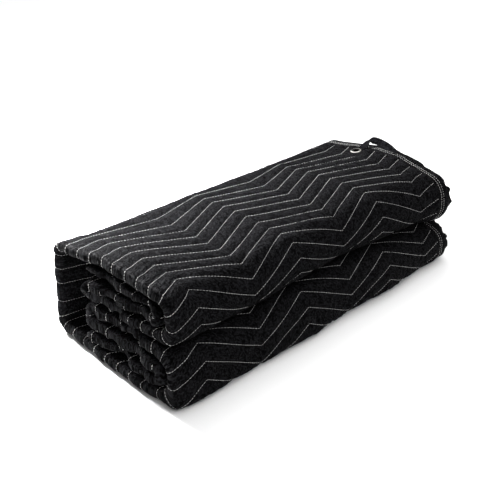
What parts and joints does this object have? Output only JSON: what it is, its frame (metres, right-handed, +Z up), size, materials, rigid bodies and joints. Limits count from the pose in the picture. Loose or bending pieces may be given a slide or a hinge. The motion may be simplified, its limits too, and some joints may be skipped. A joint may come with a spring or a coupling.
{
  "type": "folded quilted sound dampening blanket",
  "caption": "Black quilted sound dampening blanket folded into a layered bundle, with zigzag stitch rows, a stitched hem, a metal eyelet and a tape loop.",
  "frame": {"origin": "bottom centre of the bundle's box, on the surface that it rests on", "axes": "+X along the bundle from its end of rounded folds to its end of hems, -Y to its two front folds, +Y to its spine, +Z up"},
  "size_m": [0.6314, 0.2974, 0.1873],
  "materials": {
    "quilted_cloth": "matt woven cotton and polyester, near black, quilted with white thread",
    "hem_cloth": "matt woven cloth, near black, with two rows of white hem stitching",
    "eyelet_metal": "bright nickel plate",
    "loop_tape": "woven black tape"
  },
  "bodies": {
    "root": {"blanket": "quilted_cloth", "eyelet_strip": "hem_cloth", "eyelet": "eyelet_metal", "tape_loop": "loop_tape"}
  },
  "joints": []
}
